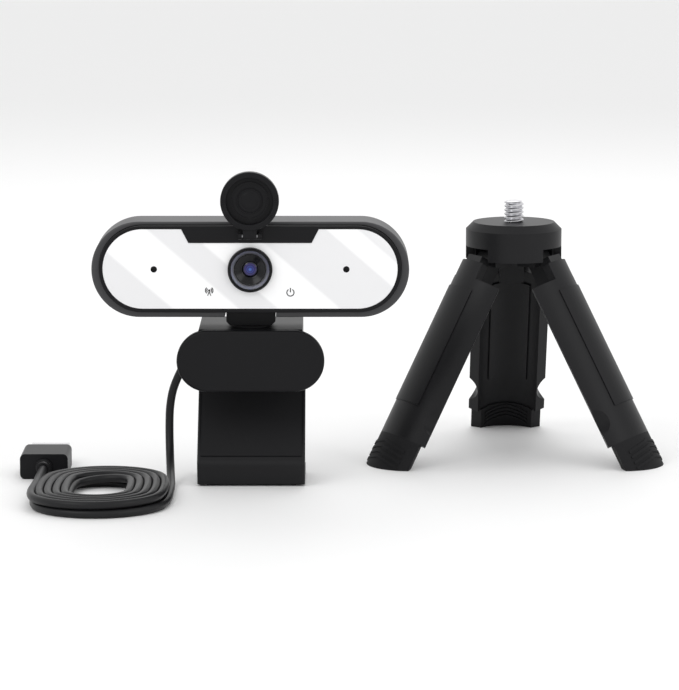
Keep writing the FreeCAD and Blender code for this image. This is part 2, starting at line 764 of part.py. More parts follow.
def make_clip():
    arm = new_body("clip_arm")
    side = sketch(arm, "side", "YZ_Plane")
    polygon(side, [
        ("-arm_ahead", "arm_bottom"),
        ("arm_behind - 1.5", "arm_bottom"),
        ("arm_behind", "arm_bottom + 1.5"),
        ("arm_behind", "arm_top - 1"),
        ("arm_behind - 1", "arm_top"),
        ("-arm_ahead", "arm_top"),
    ])
    pad(arm, side, "arm_width", symmetric=True)
    ears = sketch(arm, "ears", "YZ_Plane")
    circle(ears, "hinge_round", "hinge_behind", "hinge_middle")
    pad(arm, ears, "arm_width", symmetric=True)
    webs = sketch(arm, "ear_webs", "YZ_Plane")
    polygon(webs, [
        ("arm_behind - 2", "arm_bottom"),
        ("hinge_behind - 2.4", "arm_bottom"),
        ("hinge_behind", "hinge_middle"),
        ("hinge_behind", "hinge_middle + hinge_round"),
        ("arm_behind - 2", "hinge_middle + hinge_round"),
    ])
    pad(arm, webs, "arm_width", symmetric=True)
    gap = sketch(arm, "knuckle_gap", "YZ_Plane")
    polygon(gap, [
        ("arm_behind", "arm_bottom - 3"),
        ("hinge_behind + hinge_round + 1", "arm_bottom - 3"),
        ("hinge_behind + hinge_round + 1", "arm_top + 1"),
        ("arm_behind", "arm_top + 1"),
    ])
    pocket(arm, gap, "2 * leg_knuckle_half + 0.6", symmetric=True)
    bore = sketch(arm, "hinge_bore", "YZ_Plane")
    circle(bore, "hinge_pin_radius", "hinge_behind", "hinge_middle")
    pocket(arm, bore, "arm_width + 1", symmetric=True)
    bay = sketch(arm, "bay", "XY_Plane", "arm_bottom")
    polygon(bay, [
        ("-bay_half_width", "-arm_ahead + 1.8"),
        ("bay_half_width", "-arm_ahead + 1.8"),
        ("bay_half_width", "arm_behind - 5"),
        ("-bay_half_width", "arm_behind - 5"),
    ])
    pad_cut(arm, bay, "arm_top - arm_bottom - arm_roof")
    hole = sketch(arm, "swivel_hole", "XY_Plane", "arm_top")
    circle(hole, "swivel_radius + running_gap", "0", "neck_behind")
    pocket(arm, hole, "arm_roof + 1")
    posts = sketch(arm, "cover_posts", "XY_Plane", "arm_bottom + 1.2")
    for sign in ("-", ""):
        circle(posts, "1.9", sign + "(bay_half_width - 2.2)", "arm_behind - 7.4")
    pad(arm, posts, "arm_top - arm_bottom - arm_roof - 1.0")
    drills = sketch(arm, "cover_drills", "XY_Plane", "arm_bottom + 4.2")
    for sign in ("-", ""):
        circle(drills, "0.9", sign + "(bay_half_width - 2.2)", "arm_behind - 7.4")
    pocket(arm, drills, "4")
    lid = block("arm_lid", ("-bay_half_width + 0.1", "bay_half_width - 0.1"),
                ("-arm_ahead + 1.9", "arm_behind - 5.1"), ("arm_bottom", "arm_bottom + 1.2"))
    lid_holes = []
    screws = []
    for sign, name in (("-", "left"), ("", "right")):
        across = sign + "(bay_half_width - 2.2)"
        place = (across, "arm_behind - 7.4")
        lid_holes.append(rod("lid_hole_" + name, "z", "0.95", "arm_bottom - 1", "arm_bottom + 2", *place))
        lid_holes.append(rod("lid_seat_" + name, "z", "1.7", "arm_bottom - 1", "arm_bottom + 0.6", *place))
        screws.append(fuse(
            "cover_screw_" + name,
            rod("cover_shank_" + name, "z", "0.85", "arm_bottom + 0.5", "arm_bottom + 4", *place),
            rod("cover_head_" + name, "z", "1.6", "arm_bottom + 0.05", "arm_bottom + 0.6", *place),
        ))
    node(cut("arm_cover", lid, *lid_holes), "arm_cover")
    node(group("cover_screws", *screws), "cover_screws")
    lip = new_body("front_lip")
    face = stadium(sketch(lip, "face", "XZ_Plane", "arm_ahead"), "lip_width", "lip_height",
                   "arm_top - lip_height / 2")
    pad(lip, face, "lip_thick")
    eased(lip, "Fillet", "0.9", lies_at("Y", value_of("-arm_ahead - lip_thick")))
    eased(lip, "Fillet", "0.4", lies_at("Y", value_of("-arm_ahead")))
    node(block("lip_pad", ("-14", "14"), ("-arm_ahead", "-arm_ahead + 0.8"), ("32.5", "42.3")), "lip_pad")
    node(rod("leg_hinge_pin", "x", "hinge_pin_radius", "-arm_width / 2 + 0.3", "arm_width / 2 - 0.3",
             "hinge_behind", "hinge_middle"), "leg_hinge_pin")


def pad_cut(body, drawn, length):
    """Cut the sketch's area out of the body, along the sketch's normal."""
    before = body.Shape.Volume
    made = body.newObject("PartDesign::Pocket", drawn.Label + "_pocket")
    made.Profile = drawn
    made.Reversed = True
    bind(made, "Length", length)
    document.recompute()
    confirm_cut(made, before)
    return made


def make_leg():
    leg = new_body("clip_leg")
    side = sketch(leg, "side", "YZ_Plane")
    polygon(side, [
        ("hinge_behind", "hinge_middle"),
        ("-nose_ahead", "nose_up"),
        ("-nose_ahead + 1.7", "foot_clear"),
        ("foot_behind", "foot_clear"),
        ("foot_behind", "foot_clear + 2.6"),
        ("-nose_ahead + 3.6", "nose_up - 0.7"),
        ("hinge_behind + 2.2", "hinge_middle - 2.0"),
    ])
    pad(leg, side, "leg_width", symmetric=True)
    nose = value_of("-nose_ahead")

    def at_nose(edge):
        box = edge.BoundBox
        return box.YLength < 0.01 and box.ZLength < 0.01 and abs(box.YMin - nose) < 0.01

    def at_plate_side(edge):
        box = edge.BoundBox
        far = abs(abs(box.XMin) - value_of("leg_width / 2")) < 0.01
        return far and box.XLength < 0.01 and box.ZLength > 5 and box.YMax < 22

    eased(leg, "Fillet", "1.6", at_nose)
    eased(leg, "Fillet", "0.6", at_plate_side)
    knuckle = sketch(leg, "knuckle", "YZ_Plane")
    circle(knuckle, "hinge_round", "hinge_behind", "hinge_middle")
    pad(leg, knuckle, "2 * leg_knuckle_half", symmetric=True)
    for name, sign in (("left", -1), ("right", 1)):
        relief = sketch(leg, "ear_relief_" + name, "YZ_Plane",
                        "%d * (leg_width / 4 + leg_knuckle_half / 2 + 0.2)" % sign)
        circle(relief, "hinge_round + 0.5", "hinge_behind", "hinge_middle")
        pocket(leg, relief, "leg_width / 2 - leg_knuckle_half + 0.6", symmetric=True)
    bore = sketch(leg, "hinge_bore", "YZ_Plane")
    circle(bore, "hinge_pin_radius + running_gap", "hinge_behind", "hinge_middle")
    pocket(leg, bore, "leg_width", symmetric=True)
    boss = sketch(leg, "insert_boss", "XY_Plane", "foot_clear")
    circle(boss, "insert_radius + 1.6", "0", "insert_behind")
    pad(leg, boss, "6.2")
    well = sketch(leg, "insert_well", "XY_Plane", "foot_clear")
    circle(well, "insert_radius", "0", "insert_behind")
    pad_cut(leg, well, "5")
    seat = sketch(leg, "pad_seat", "XY_Plane", "foot_clear")
    polygon(seat, [("-14", "-8"), ("14", "-8"), ("14", "10.5"), ("-14", "10.5")])
    pad_cut(leg, seat, "0.6")
    sole = block("sole", ("-13.9", "13.9"), ("-7.9", "10.4"), ("0", "foot_clear + 0.6"))
    sole_hole = rod("sole_hole", "z", "insert_radius + 0.4", "-1", "3", "0", "insert_behind")
    node(cut("foot_pad", sole, sole_hole), "foot_pad")
    node(pipe("thread_insert", "z", "insert_radius", "insert_bore", "foot_clear + 0.2",
              "foot_clear + 4.9", "0", "insert_behind"), "thread_insert")
    strip = document.addObject("Part::Box", "facing")
    bind(strip, "Length", "leg_width - 2 * facing_margin")
    bind(strip, "Width", "facing_long")
    bind(strip, "Height", "facing_thick")
    slope = math.atan2(value_of("hinge_middle - nose_up"), value_of("hinge_behind + nose_ahead"))
    down_slope = Vector(0, -math.cos(slope), -math.sin(slope))
    hinge = Vector(value_of("facing_margin - leg_width / 2"), value_of("hinge_behind"),
                   value_of("hinge_middle"))
    strip.Placement = Placement(
        hinge + down_slope * value_of("facing_end"), Rotation(Vector(1, 0, 0), math.degrees(slope)),
    )
    node(strip, "leg_pad")


# ---------------------------------------------------------------- lead

# The lead's route from the strain relief to the coil, and from the coil to the plug.
RELIEF_START = Vector(-14.6, 6.0, 45.6)
LEAD_ROUTE = [
    Vector(-20.9, 6.0, 36.6),
    Vector(-24.2, 6.3, 30.6),
    Vector(-25.9, 6.5, 23.4),
    Vector(-26.1, 5.6, 15.6),
    Vector(-25.8, 2.1, 8.4),
    Vector(-25.3, -4.1, 3.4),
    Vector(-24.8, -12.0, 1.35),
    Vector(-24.6, -19.6, 1.3),
]
TAIL_ROUTE = [
    Vector(-65.5, -20.5, 3.9),
    Vector(-65.7, -14.0, 3.6),
    Vector(-65.55, -8.0, 3.7),
    Vector(-65.45, -2.0, 4.0),
]


def rounded_path(points, label):
    """Straight runs joined by tangent arcs, each as large as its two runs allow."""
    edges = []
    radii = []
    start = points[0]
    for before, corner, after in zip(points, points[1:], points[2:]):
        arriving = (corner - before).normalize()
        leaving = (after - corner).normalize()
        half_turn = arriving.getAngle(leaving) / 2
        shorter = min((corner - before).Length, (after - corner).Length)
        reach = 0.45 * shorter
        radii.append(reach / math.tan(half_turn))
        entry = corner - arriving * reach
        leave = corner + leaving * reach
        inward = (leaving - arriving).normalize()
        depth = radii[-1] * (1 / math.cos(half_turn) - 1)
        edges.append(Part.LineSegment(start, entry).toShape())
        edges.append(Part.Arc(entry, corner + inward * depth, leave).toShape())
        start = leave
    edges.append(Part.LineSegment(start, points[-1]).toShape())
    print(label, "arc radii:", ", ".join("%.1f" % radius for radius in radii))
    return Part.Wire(edges)


def make_tube(label, points):
    """A round cord along a route, its volume compared with section times length."""
    radius = value_of("cord_diameter") / 2
    path = rounded_path(points, label)
    direction = points[1] - points[0]
    section = Part.Wire([Part.Circle(points[0], direction, radius).toShape()])
    solid = path.makePipeShell([section], True, False)
    expected = math.pi * radius ** 2 * path.Length
    print(label, "length %.1f, volume ratio %.4f" % (path.Length, solid.Volume / expected))
    tube = document.addObject("Part::Feature", label)
    tube.Shape = solid
    tube.Placement = Placement()
    node(tube, label)


def make_lead():
    make_tube("cord_lead", LEAD_ROUTE)
    make_tube("cord_tail", TAIL_ROUTE)
    along = (LEAD_ROUTE[0] - RELIEF_START).normalize()
    relief = document.addObject("Part::Cone", "strain_relief")
    bind(relief, "Radius1", "relief_radius")
    bind(relief, "Radius2", "relief_tip_radius")
    relief.Height = (LEAD_ROUTE[0] - RELIEF_START).Length
    relief.Placement = Placement(RELIEF_START, Rotation(Vector(0, 0, 1), along))
    node(relief, "strain_relief")
    coil = new_body("cord_coil")
    coil.Placement = Placement(
        Vector(value_of("coil_across"), value_of("-coil_ahead"), 0), Rotation(Vector(0, 0, 1), 90),
    )
    outline = sketch(coil, "outline", "XY_Plane")
    stadium(outline, "coil_length", "coil_width")
    stadium(outline, "coil_hole_length", "coil_hole_width")
    pad(coil, outline, "2 * cord_diameter")


def make_plug():
    centre = "plug_across"
    body_start = "plug_start + relief_long"
    shell_start = body_start + " + plug_long"
    sleeve = block("relief_block", (centre + " - 2.6", centre + " + 2.6"), ("plug_start", body_start),
                   ("plug_up - 2.4", "plug_up + 2.4"))
    node(sleeve, "plug_relief")
    grip = new_body("plug_body")
    bind(grip, "Placement.Base.x", centre)
    across = "plug_width / 2"
    outline = sketch(grip, "outline", "XY_Plane", "plug_up - plug_thick / 2")
    polygon(outline, [
        ("-" + across, body_start),
        (across, body_start),
        (across, shell_start),
        ("-" + across, shell_start),
    ])
    pad(grip, outline, "plug_thick")

    def long_edge(edge):
        box = edge.BoundBox
        return box.YLength > 10 and box.XLength < 0.01

    eased(grip, "Fillet", "1.6", long_edge)
    mouth = sketch(grip, "mouth", "XZ_Plane", "-(%s)" % shell_start)
    polygon(mouth, [
        ("-usb_width / 2", "plug_up - usb_thick / 2"),
        ("usb_width / 2", "plug_up - usb_thick / 2"),
        ("usb_width / 2", "plug_up + usb_thick / 2"),
        ("-usb_width / 2", "plug_up + usb_thick / 2"),
    ])
    pad_cut(grip, mouth, "6")
    metal_start = "(%s) - 6" % shell_start
    metal_end = "(%s) + usb_long" % shell_start
    low = "plug_up - usb_thick / 2"
    high = "plug_up + usb_thick / 2"
    sides = (centre + " - usb_width / 2", centre + " + usb_width / 2")
    outer = block("usb_outside", sides, (metal_start, metal_end), (low, high))
    inner = block("usb_inside", (sides[0] + " + 0.32", sides[1] + " - 0.32"),
                  ("(%s) + 0.32" % metal_start, "(%s) + 1" % metal_end), (low + " + 0.32", high + " - 0.32"))
    windows = []
    for name, offset in (("left", "- 3.1"), ("right", "+ 3.1")):
        windows.append(block(
            "usb_window_" + name,
            ("%s %s - 1.2" % (centre, offset), "%s %s + 1.2" % (centre, offset)),
            ("(%s) - 6.7" % metal_end, "(%s) - 4.3" % metal_end), (low + " - 1", high + " + 1"),
        ))
    node(cut("plug_shell", outer, inner, *windows), "plug_shell")
    node(block("plug_insert", (centre + " - 5.4", centre + " + 5.4"),
               ("(%s) + 0.4" % metal_start, "(%s) - 0.6" % metal_end),
               (low + " + 0.35", low + " + 2.2")), "plug_insert")
    strips = []
    for number, (offset, width) in enumerate(((-3.5, 0.5), (-1.0, 0.5), (1.0, 0.5), (3.5, 0.5))):
        place = "%s + (%s)" % (centre, offset)
        strips.append(block(
            "contact_%d" % number, ("%s - %s" % (place, width), "%s + %s" % (place, width)),
            ("(%s) - 9" % metal_end, "(%s) - 1.6" % metal_end), (low + " + 2.2", low + " + 2.4"),
        ))
    node(group("plug_contacts", *strips), "plug_contacts")


# ---------------------------------------------------------------- mini tripod

LEG_HEADINGS = {"left": 210, "right": 330, "back": 90}


def make_stand_hub():
    hub = new_body("tripod_hub")
    bind(hub, "Placement.Base.x", "stand_across")
    bind(hub, "Placement.Base.y", "stand_behind")
    profile = sketch(hub, "profile", "XZ_Plane")
    polygon(profile, [
        ("0", "hub_bottom - 5"),
        ("4.2", "hub_bottom - 5"),
        ("4.2", "hub_bottom"),
        ("hub_radius", "hub_bottom"),
        ("hub_radius", "hub_top - hub_chamfer"),
        ("hub_radius - hub_chamfer", "hub_top"),
        ("0", "hub_top"),
    ])
    turn(hub, profile, "V_Axis")
    well = sketch(hub, "screw_well", "XY_Plane", "hub_top")
    circle(well, "screw_root")
    pocket(hub, well, "screw_buried")
    return hub


def make_stand():
    hub = make_stand_hub()
    centre = Vector(value_of("stand_across"), value_of("stand_behind"), 0)
    hinge_up = value_of("stand_hinge_up")
    hinge_out = value_of("stand_hinge_out")
    outer = value_of("stand_leg_outer")
    wall = value_of("stand_leg_wall")
    pin_radius = value_of("stand_pin_radius")
    half_pin = value_of("stand_pin_half")
    ear_inner = value_of("stand_ear_inner")
    ear_half = value_of("stand_ear_half")
    # The ears and skirts repeat round the hub's axis, so they are fused to a copy of its turned blank.
    solids = [hub.Shape.copy()]
    pins = []
    for heading in LEG_HEADINGS.values():
        facing = Placement(centre, Rotation(Vector(0, 0, 1), heading))
        pin_end = Vector(hinge_out, -half_pin, hinge_up)
        pin = Part.makeCylinder(pin_radius, 2 * half_pin, pin_end, Vector(0, 1, 0))
        for low in (-half_pin, ear_inner):
            ear = Part.makeBox(
                2 * ear_half, half_pin - ear_inner, 6.0, Vector(hinge_out - ear_half, low, hinge_up - 2.8),
            )
            ear.Placement = facing.multiply(ear.Placement)
            solids.append(ear)
        pin.Placement = facing.multiply(pin.Placement)
        pins.append(pin)
        between = Placement(centre, Rotation(Vector(0, 0, 1), heading + 60))
        skirt = sector(value_of("hub_radius"), value_of("hub_radius") - 2.6, 70, hinge_up - 1.1,
                       value_of("hub_bottom") + 0.5)
        skirt.Placement = between.multiply(skirt.Placement)
        solids.append(skirt)
    whole = solids[0].fuse(solids[1:]).removeSplitter()
    for pin in pins:
        whole = whole.cut(pin)
    finished = document.addObject("Part::Feature", "tripod_hub_finished")
    finished.Shape = whole
    nodes.remove(hub)
    hub.Label = "hub_blank"
    node(finished, "tripod_hub")
    bundle = document.addObject("Part::Feature", "tripod_pins")
    bundle.Shape = Part.Compound(pins)
    node(bundle, "tripod_pins")
    place = ("stand_across", "stand_behind")
    node(fuse(
        "tripod_screw",
        rod("screw_free_end", "z", "screw_radius", "hub_top", "screw_top", *place),
        rod("screw_buried_end", "z", "screw_root", "hub_top - screw_buried", "hub_top", *place),
    ), "tripod_screw")
    for name, heading in LEG_HEADINGS.items():
        facing = Placement(centre, Rotation(Vector(0, 0, 1), heading))
        make_stand_leg(name, facing, hinge_up, hinge_out, outer, wall)


def sector(outer, inner, angle, low, high):
    """Part of a hollow cylinder about Z, angle wide and centred on +X."""
    ring = Part.makeCylinder(outer, high - low, Vector(0, 0, low), Vector(0, 0, 1), angle)
    ring = ring.cut(Part.makeCylinder(inner, high - low + 2, Vector(0, 0, low - 1)))
    ring.rotate(Vector(), Vector(0, 0, 1), -angle / 2)
    return ring


def make_stand_leg(name, facing, hinge_up, hinge_out, outer, wall):
    """One leg, made folded about the tripod's axis, then swung out about its hinge."""
    # The top stays below the circle that the hub's ears sweep as the leg folds.
    top = hinge_up - 4.6
    shoulder = hinge_up - 10.2
    bottom = hinge_up - value_of("stand_leg_long")
    shell = sector(outer, outer - wall, 113, bottom, shoulder)
    narrow = sector(outer, outer - wall, 46, shoulder - 0.5, top)
    lug_radius = value_of("stand_lug_radius")
    lug_width = value_of("stand_lug_width")
    side = -lug_width / 2
    arm_long = 11.4
    web = Part.makeBox(outer - hinge_out - 1.2, lug_width, 9.0, Vector(hinge_out, side, hinge_up - arm_long))
    lug = Part.makeCylinder(lug_radius, lug_width, Vector(hinge_out, side, hinge_up), Vector(0, 1, 0))
    arm = Part.makeBox(
        2 * lug_radius, lug_width, arm_long, Vector(hinge_out - lug_radius, side, hinge_up - arm_long),
    )
    leg = shell.fuse([narrow, web, lug, arm]).removeSplitter()
    bore_start = Vector(hinge_out, -lug_width, hinge_up)
    leg = leg.cut(Part.makeCylinder(value_of("stand_pin_bore"), 2 * lug_width, bore_start, Vector(0, 1, 0)))
    for side in (-1, 1):
        across = side * value_of("scoop_across")
        scoop = Part.makeCylinder(
            value_of("scoop_radius"), 16, Vector(0, across, bottom + value_of("scoop_up")), Vector(1, 0, 0),
        )
        leg = leg.cut(scoop)
    foot = sector(outer, outer - wall - 0.6, 100, bottom - value_of("stand_foot_long"), bottom)
    hinge = Vector(hinge_out, 0, hinge_up)
    for shape in (leg, foot):
        shape.rotate(hinge, Vector(0, 1, 0), -value_of("stand_leg_spread"))
    below_floor = Part.makeBox(120, 60, 30, Vector(0, -30, -30))
    foot = foot.cut(below_floor)
    for shape, label in ((leg, "tripod_leg_" + name), (foot, "tripod_pad_" + name)):
        shape.Placement = facing.multiply(shape.Placement)
        piece = document.addObject("Part::Feature", label)
        piece.Shape = shape
        node(piece, label)


# ---------------------------------------------------------------- build and write

make_rear_shell()
make_front_bezel()
make_front_panel()
make_camera_module()
make_electronics()
make_cover()
make_neck()
make_clip()
make_leg()
make_lead()
make_plug()
make_stand()
document.recompute()

for thing in document.Objects:
    if "Invalid" in thing.State or "Error" in thing.State:
        raise RuntimeError("%s is %s" % (thing.Label, thing.State))
for piece in nodes:
    if piece.Shape.isNull() or not piece.Shape.isValid() or not piece.Shape.Solids:
        raise RuntimeError(piece.Label + " has no valid solid")

os.makedirs("parts", exist_ok=True)
for piece in nodes:
    piece.Shape.exportStep("parts/%s.step" % piece.Label)
print(len(nodes), "nodes written")
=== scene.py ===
import json
import math

import bpy
from mathutils import Matrix, Vector


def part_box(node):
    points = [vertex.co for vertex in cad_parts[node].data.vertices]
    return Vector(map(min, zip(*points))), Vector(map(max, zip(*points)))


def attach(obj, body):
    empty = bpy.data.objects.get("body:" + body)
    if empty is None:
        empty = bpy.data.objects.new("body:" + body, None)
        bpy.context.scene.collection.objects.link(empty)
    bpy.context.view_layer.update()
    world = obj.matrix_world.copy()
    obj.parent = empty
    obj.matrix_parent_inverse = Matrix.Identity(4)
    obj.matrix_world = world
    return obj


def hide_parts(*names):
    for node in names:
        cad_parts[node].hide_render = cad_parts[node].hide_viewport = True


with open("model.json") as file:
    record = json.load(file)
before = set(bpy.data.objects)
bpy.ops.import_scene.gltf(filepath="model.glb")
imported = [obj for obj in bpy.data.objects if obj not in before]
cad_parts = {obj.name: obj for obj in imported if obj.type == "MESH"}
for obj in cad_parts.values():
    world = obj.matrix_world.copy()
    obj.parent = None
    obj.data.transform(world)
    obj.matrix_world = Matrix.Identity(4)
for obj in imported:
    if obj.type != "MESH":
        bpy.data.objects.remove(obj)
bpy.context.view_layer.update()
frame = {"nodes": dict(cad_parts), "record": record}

MM = 0.001
nodes = frame["nodes"]


# ---------------------------------------------------------------- materials

def surface(name, color, roughness, variation=0.08, grain=900.0, bump=0.06, metallic=0.0,
            coat=0.0, rough_spread=0.08, patch=60.0, specular=0.5):
    """A moulded or machined surface: uneven colour and gloss, and a fine grain in its normal."""
    made = bpy.data.materials.new(name)
    made.use_nodes = True
    tree = made.node_tree
    shader = tree.nodes["Principled BSDF"]
    shader.inputs["Metallic"].default_value = metallic
    shader.inputs["Specular IOR Level"].default_value = specular
    shader.inputs["Coat Weight"].default_value = coat
    shader.inputs["Coat Roughness"].default_value = 0.06
    place = tree.nodes.new("ShaderNodeTexCoord")
    cloud = tree.nodes.new("ShaderNodeTexNoise")
    cloud.inputs["Scale"].default_value = patch
    cloud.inputs["Detail"].default_value = 4.0
    tree.links.new(place.outputs["Object"], cloud.inputs["Vector"])
    tint = tree.nodes.new("ShaderNodeMix")
    tint.data_type = "RGBA"
    tint.inputs[6].default_value = [channel * (1 - variation) for channel in color] + [1]
    tint.inputs[7].default_value = [min(1, channel * (1 + variation)) for channel in color] + [1]
    tree.links.new(cloud.outputs["Fac"], tint.inputs[0])
    tree.links.new(tint.outputs[2], shader.inputs["Base Color"])
    gloss = tree.nodes.new("ShaderNodeMapRange")
    gloss.inputs["To Min"].default_value = max(0.02, roughness - rough_spread / 2)
    gloss.inputs["To Max"].default_value = min(1, roughness + rough_spread / 2)
    tree.links.new(cloud.outputs["Fac"], gloss.inputs["Value"])
    tree.links.new(gloss.outputs["Result"], shader.inputs["Roughness"])
    fine = tree.nodes.new("ShaderNodeTexNoise")
    fine.inputs["Scale"].default_value = grain
    fine.inputs["Detail"].default_value = 3.0
    tree.links.new(place.outputs["Object"], fine.inputs["Vector"])
    relief = tree.nodes.new("ShaderNodeBump")
    relief.inputs["Strength"].default_value = bump
    relief.inputs["Distance"].default_value = 0.0002
    tree.links.new(fine.outputs["Fac"], relief.inputs["Height"])
    tree.links.new(relief.outputs["Normal"], shader.inputs["Normal"])
    return made


def panel_surface_painted_reflections():
    """White gloss sheet with broad, faint diagonal bands in its white: painted reflection streaks, darker
    and lighter bands laid into the base colour in object space.
    """
    made = surface("white_panel", (0.93, 0.93, 0.94), 0.12, variation=0.01, bump=0.01, coat=0.6)
    tree = made.node_tree
    shader = tree.nodes["Principled BSDF"]
    place = next(n for n in tree.nodes if n.type == "TEX_COORD")
    split = tree.nodes.new("ShaderNodeSeparateXYZ")
    tree.links.new(place.outputs["Object"], split.inputs["Vector"])
    lean = tree.nodes.new("ShaderNodeMath")
    lean.operation = "MULTIPLY_ADD"
    lean.inputs[1].default_value = 1.15
    tree.links.new(split.outputs["Z"], lean.inputs[0])
    tree.links.new(split.outputs["X"], lean.inputs[2])
    scale = tree.nodes.new("ShaderNodeMapRange")
    scale.inputs["From Min"].default_value = 0.020
    scale.inputs["From Max"].default_value = 0.140
    tree.links.new(lean.outputs["Value"], scale.inputs["Value"])
    # Painted reflections: the diagonal bands stand in for soft reflection streaks and are put into the base
    # colour.
    painted_reflection_bands = tree.nodes.new("ShaderNodeValToRGB")
    white = (0.95, 0.95, 0.955, 1)
    shade = (0.80, 0.80, 0.81, 1)
    ramp = painted_reflection_bands.color_ramp
    ramp.elements[0].position = 0.0
    ramp.elements[0].color = shade
    ramp.elements[1].position = 1.0
    ramp.elements[1].color = white
    edges = ((0.17, shade), (0.18, white), (0.34, white), (0.35, shade), (0.44, shade), (0.45, white),
             (0.60, white), (0.61, shade), (0.80, shade), (0.81, white), (0.88, white), (0.89, shade))
    for position, color in edges:
        ramp.elements.new(position).color = color
    tree.links.new(scale.outputs["Result"], painted_reflection_bands.inputs["Fac"])
    tree.links.new(painted_reflection_bands.outputs["Color"], shader.inputs["Base Color"])
    return made


def glass_surface():
    """Coated lens glass under a clear coat: deep blue and violet rings round the lens axis, painted coating
    reflections laid into the base colour.
    """
    made = surface("coated_glass", (0.03, 0.04, 0.2), 0.05, variation=0.05, bump=0.0, coat=0.1,
                   rough_spread=0.01, specular=0.4)
    tree = made.node_tree
    shader = tree.nodes["Principled BSDF"]
    shader.inputs["IOR"].default_value = 1.5
    place = next(n for n in tree.nodes if n.type == "TEX_COORD")
    away = tree.nodes.new("ShaderNodeVectorMath")
    away.operation = "DISTANCE"
    flat = tree.nodes.new("ShaderNodeVectorMath")
    flat.operation = "MULTIPLY"
    flat.inputs[1].default_value = (1, 0, 1)
    tree.links.new(place.outputs["Object"], flat.inputs[0])
    tree.links.new(flat.outputs["Vector"], away.inputs[0])
    away.inputs[1].default_value = (LENS_AXIS.x, 0, LENS_AXIS.z)
    scale = tree.nodes.new("ShaderNodeMapRange")
    scale.inputs["From Max"].default_value = 2.6 * MM
    tree.links.new(away.outputs["Value"], scale.inputs["Value"])
    # Painted reflections: the rings, brightest at the centre, stand in for the coating's coloured
    # reflections and are put into the base colour.
    painted_reflection_rings = tree.nodes.new("ShaderNodeValToRGB")
    ramp = painted_reflection_rings.color_ramp
    ramp.elements[0].color = (0.05, 0.12, 0.42, 1)
    ramp.elements[1].color = (0.002, 0.002, 0.004, 1)
    for position, color in ((0.16, (0.03, 0.07, 0.30)), (0.26, (0.008, 0.012, 0.09)),
                            (0.40, (0.020, 0.030, 0.24)), (0.50, (0.005, 0.006, 0.05)),
                            (0.62, (0.030, 0.020, 0.16)), (0.74, (0.008, 0.006, 0.05)),
                            (0.82, (0.002, 0.002, 0.006))):
        ramp.elements.new(position).color = color + (1,)
    tree.links.new(scale.outputs["Result"], painted_reflection_rings.inputs["Fac"])
    tree.links.new(painted_reflection_rings.outputs["Color"], shader.inputs["Base Color"])
    return made


LENS_LOW, LENS_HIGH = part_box("lens_ring")
LENS_AXIS = (LENS_LOW + LENS_HIGH) / 2
LENS_AXIS.y = LENS_LOW.y

MATERIALS = {
    "black": surface("moulded_black", (0.006, 0.006, 0.007), 0.40, specular=0.16),
    "grey_shell": surface("grey_casing", (0.060, 0.060, 0.063), 0.42, bump=0.09, specular=0.22),
    "panel_white": panel_surface_painted_reflections(),
    "leg_satin": surface("satin_leg", (0.008, 0.008, 0.009), 0.33, bump=0.04, specular=0.22),
    "lens_silver": surface("turned_bevel", (0.82, 0.83, 0.85), 0.34, metallic=1.0, bump=0.02),
    "lens_black": surface("lens_black", (0.004, 0.004, 0.005), 0.22, bump=0.01, coat=0.12, specular=0.2),
    "coated_glass": glass_surface(),
    "filter_glass": surface("filter_glass", (0.3, 0.6, 0.62), 0.05, bump=0.0, coat=1.0),
    "board_green": surface("board_green", (0.01, 0.12, 0.05), 0.4),
    "chip_black": surface("chip_black", (0.015, 0.015, 0.016), 0.6),
    "bare_metal": surface("bare_metal", (0.66, 0.66, 0.68), 0.28, metallic=1.0),
    "steel": surface("steel", (0.5, 0.5, 0.52), 0.32, metallic=1.0),
    "plated": surface("plated_shell", (0.72, 0.72, 0.73), 0.2, metallic=1.0, bump=0.03),
    "brass": surface("brass", (0.72, 0.52, 0.2), 0.3, metallic=1.0),
    "gold": surface("gold", (0.86, 0.62, 0.24), 0.2, metallic=1.0),
    "lamp": surface("lamp", (0.8, 0.8, 0.74), 0.3),
    "rubber": surface("rubber", (0.009, 0.009, 0.010), 0.7, bump=0.15, specular=0.2),
    "cord": surface("cord_sheath", (0.008, 0.008, 0.009), 0.40, bump=0.08, patch=200.0, specular=0.25),
    "tongue_white": surface("tongue_white", (0.84, 0.84, 0.82), 0.4),
    "stand_black": surface("stand_black", (0.009, 0.009, 0.010), 0.42, bump=0.1, specular=0.2),
}

for part in frame["record"]["subparts"]:
    mesh = nodes[part["node"]].data
    mesh.materials.clear()
    mesh.materials.append(MATERIALS[part["material_slot"]])


# ---------------------------------------------------------------- building pieces

def place_piece(name, data, body, slot_name, smooth=35):
    """Link a mesh or curve, give it its slot's material and let it ride on a body."""
    piece = bpy.data.objects.new(name, data)
    bpy.context.scene.collection.objects.link(piece)
    data.materials.append(MATERIALS[slot_name])
    if isinstance(data, bpy.types.Mesh) and smooth:
        data.polygons.foreach_set("use_smooth", [True] * len(data.polygons))
        data.set_sharp_from_angle(angle=math.radians(smooth))
    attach(piece, body)
    return piece


def make_mesh(name, points, faces):
    mesh = bpy.data.meshes.new(name)
    mesh.from_pydata([tuple(point) for point in points], [], faces)
    mesh.validate()
    mesh.update()
    return mesh


def lathe(name, profile, origin, direction, body, slot_name, segments=96, closed=True):
    """Turn a profile of (distance along direction, radius) round an axis through origin."""
    turn = Vector(direction).to_track_quat("Z", "X").to_matrix().to_4x4()
    turn = Matrix.Translation(origin) @ turn
    points = []
    for along, radius in profile:
        for step in range(segments):
            angle = 2 * math.pi * step / segments
            points.append(turn @ Vector((radius * math.cos(angle), radius * math.sin(angle), along)))
    faces = []
    rows = len(profile)
    for row in range(rows if closed else rows - 1):
        following = (row + 1) % rows
        for step in range(segments):
            right = (step + 1) % segments
            faces.append((row * segments + step, row * segments + right,
                          following * segments + right, following * segments + step))
    return place_piece(name, make_mesh(name, points, faces), body, slot_name)


